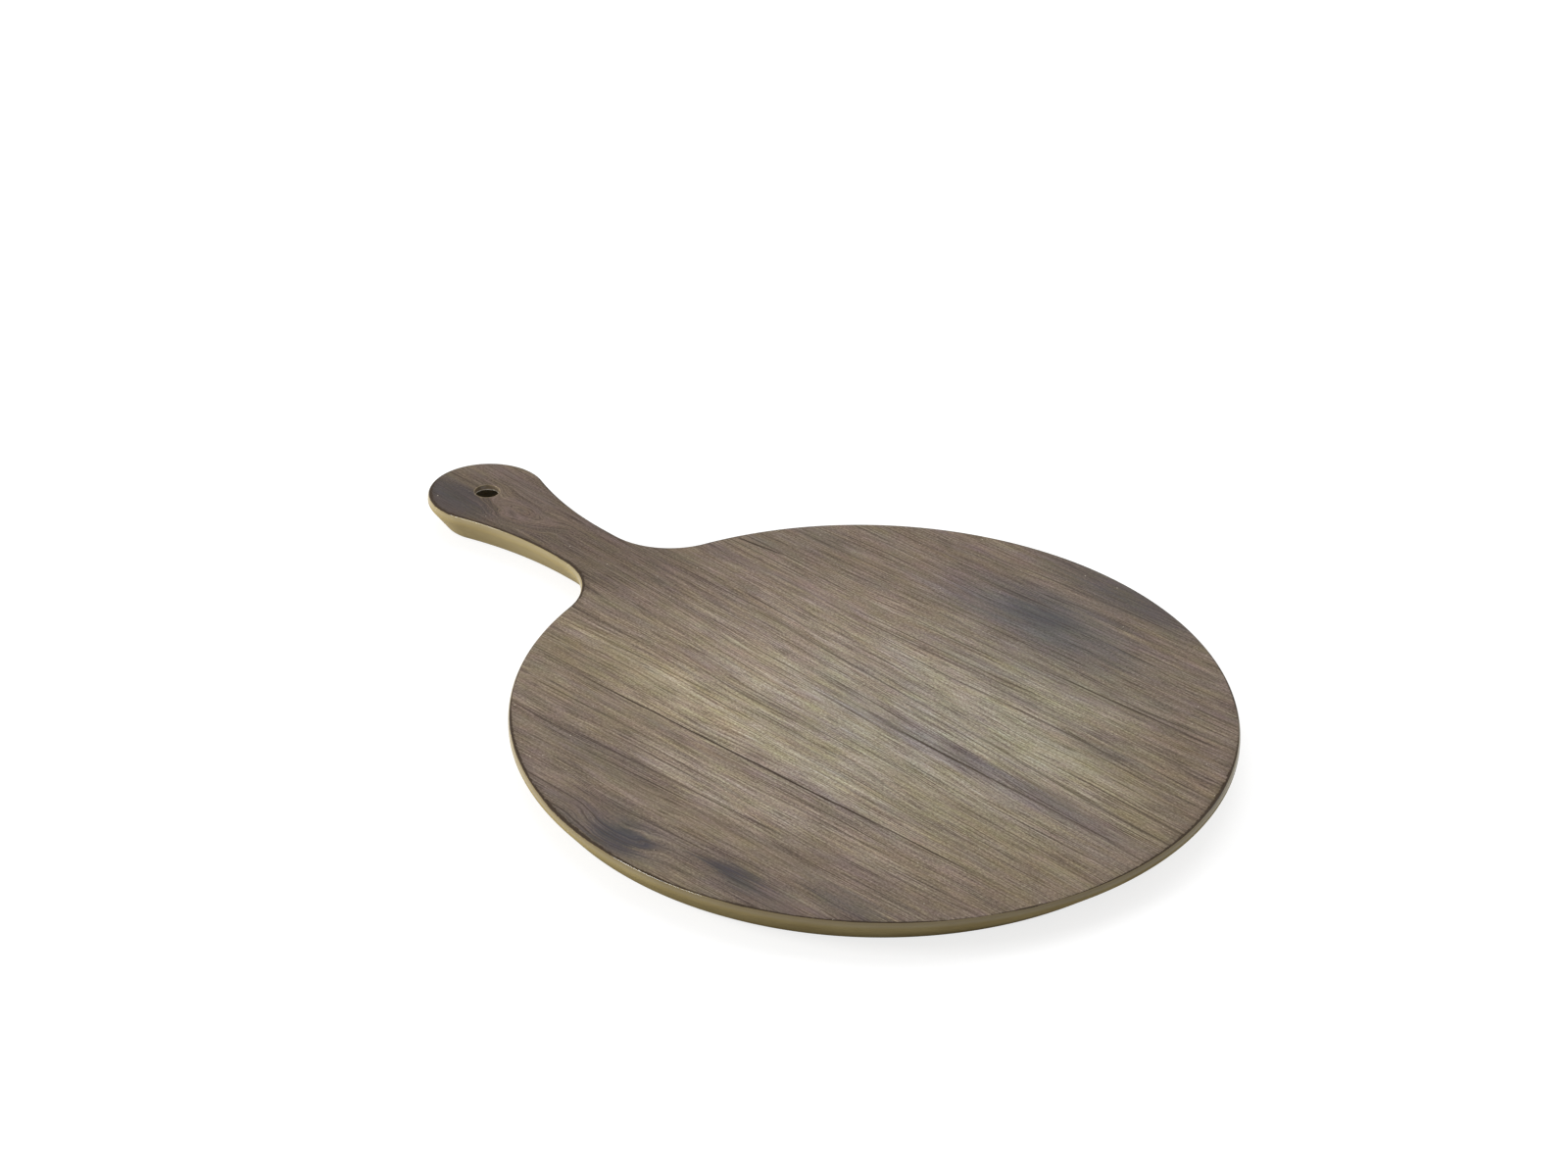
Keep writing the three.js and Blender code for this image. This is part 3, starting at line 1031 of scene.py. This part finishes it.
def add_camera(plan, section, stage):
    """Camera that sees the middle of the printed board at its pixel, from its distance."""
    axes = camera_axes(stage)
    sight = np.array(
        [
            (stage.centre_pixel_x - PHOTO_WIDTH / 2) / stage.focal_pixels,
            (stage.centre_pixel_y - PHOTO_HEIGHT / 2) / stage.focal_pixels,
            1.0,
        ]
    )
    sight *= stage.distance / np.linalg.norm(sight)
    place = np.array([board_centre(plan), 0.0, section.thickness]) - axes @ sight
    turn = axes * (1, -1, -1)
    data = bpy.data.cameras.new("camera")
    data.sensor_width = SENSOR_WIDTH
    data.lens = stage.focal_pixels / PHOTO_WIDTH * SENSOR_WIDTH
    camera = bpy.data.objects.new("camera", data)
    matrix = np.eye(4)
    matrix[:3, :3] = turn
    matrix[:3, 3] = place
    camera.matrix_world = Matrix(matrix.tolist())
    bpy.context.scene.collection.objects.link(camera)
    bpy.context.scene.camera = camera
    return camera


def add_soft_box(lamp, power, camera):
    """A lamp at its place from the middle, which it faces: place = a right + b away + c up."""
    turn = np.array(camera.matrix_world)[:2, 0]
    right = np.array([*turn, 0.0]) / np.linalg.norm(turn)
    away = np.array([-right[1], right[0], 0.0])
    up = np.array([0.0, 0.0, 1.0])
    where = Vector(np.array(lamp.place) @ np.array([right, away, up]))
    data = bpy.data.lights.new(lamp.name, "AREA")
    data.energy = power
    data.shape = "RECTANGLE"
    data.size, data.size_y = lamp.size
    soft_box = bpy.data.objects.new(lamp.name, data)
    facing = where.to_track_quat("Z", "Y").to_matrix().to_4x4()
    facing.translation = where
    soft_box.matrix_world = facing
    soft_box.visible_glossy = lamp.mirrored
    bpy.context.scene.collection.objects.link(soft_box)


def white_rays(paint):
    """1 for rays that show the background: camera, glossy and transmission rays."""
    path = paint.node("ShaderNodeLightPath", {}, {}, out="Is Camera Ray")
    shows = path.math("MAXIMUM", path.of("Is Glossy Ray"))
    return shows.math("MAXIMUM", path.of("Is Transmission Ray"))


def floor_material(stage):
    """Matt floor for the light. To the eye it is dim matt + glow, so that the paddle's shadow stays.

    The glow grows to full white with the distance from the middle.
    """
    paint = Paint(bpy.data.materials.new("pale_floor"))
    x, y, _ = paint.millimetres()
    reach = MM * stage.shade_reach
    far = distance(x, y).rise(reach * FLOOR_FADE_START, reach)
    strength = far * (1 - stage.floor_glow) + stage.floor_glow
    glow = paint.node("ShaderNodeEmission", {}, {"Strength": strength})
    matt = paint.node("ShaderNodeBsdfDiffuse", {}, {"Color": (*stage.floor, 1.0)})
    shade = [channel * FLOOR_SHADE for channel in stage.floor]
    dim = paint.node("ShaderNodeBsdfDiffuse", {}, {"Color": (*shade, 1.0)})
    seen = paint.node("ShaderNodeAddShader", {}, {0: dim, 1: glow})
    surface = paint.node("ShaderNodeMixShader", {}, {"Fac": white_rays(paint), 1: matt, 2: seen})
    paint.node("ShaderNodeOutputMaterial", {}, {"Surface": surface})
    return paint.owner


def add_world(scene, stage):
    """Even light from all round, and white where the surroundings are seen."""
    world = bpy.data.worlds.new("studio")
    paint = Paint(world)
    strength = white_rays(paint) * (1 - stage.sky_light) + stage.sky_light
    background = paint.node("ShaderNodeBackground", {}, {"Color": (1, 1, 1, 1), "Strength": strength})
    paint.node("ShaderNodeOutputWorld", {}, {"Surface": background})
    scene.world = world


class PADDLE_OT_stage(Operator):
    """Camera, soft studio light, white surroundings and a plain floor"""

    bl_idname = "paddle.stage"
    bl_label = "Stage"

    def execute(self, context):
        scene = context.scene
        stage = scene.paddle_stage
        camera = add_camera(scene.paddle_plan, scene.paddle_section, stage)
        for lamp in LAMPS:
            add_soft_box(lamp, getattr(stage, lamp.power), camera)
        half = FLOOR_HALF_SIZE
        mesh = bpy.data.meshes.new("floor")
        corners = [(-half, -half, 0), (half, -half, 0), (half, half, 0), (-half, half, 0)]
        mesh.from_pydata(corners, [], [(0, 1, 2, 3)])
        mesh.materials.append(floor_material(stage))
        floor = bpy.data.objects.new("floor", mesh)
        scene.collection.objects.link(floor)
        add_world(scene, stage)
        scene.view_settings.view_transform = "Standard"
        return {"FINISHED"}


class PADDLE_PT_sidebar(Panel):
    """Sizes and colours of the paddle, and the steps that build it"""

    bl_idname = "PADDLE_PT_sidebar"
    bl_label = "Serving Paddle"
    bl_space_type = "VIEW_3D"
    bl_region_type = "UI"
    bl_category = "Paddle"

    def draw(self, context):
        for operator in OPERATORS:
            self.layout.operator(operator.bl_idname)
        for name in GROUPS:
            box = self.layout.box()
            group = getattr(context.scene, name)
            for key in group.bl_rna.properties.keys():
                if key not in ("rna_type", "name"):
                    box.prop(group, key)


GROUPS = {
    "paddle_plan": PaddlePlan,
    "paddle_section": PaddleSection,
    "paddle_colours": PaddleColours,
    "paddle_stage": PaddleStage,
}
OPERATORS = (PADDLE_OT_stage, PADDLE_OT_moulded_body, PADDLE_OT_wood_print)


def register():
    """Adds the classes, and the settings to the scene."""
    for kind in (*GROUPS.values(), *OPERATORS, PADDLE_PT_sidebar):
        bpy.utils.register_class(kind)
    for name, group in GROUPS.items():
        setattr(bpy.types.Scene, name, PointerProperty(type=group))


def unregister():
    """Takes the settings and the classes away again."""
    for name in GROUPS:
        delattr(bpy.types.Scene, name)
    for kind in (PADDLE_PT_sidebar, *reversed(OPERATORS), *reversed(GROUPS.values())):
        bpy.utils.unregister_class(kind)


def main():
    """Builds the stage and the pieces in order."""
    register()
    bpy.ops.paddle.stage()
    bpy.ops.paddle.moulded_body()
    bpy.ops.paddle.wood_print()


if __name__ == "__main__":
    main()
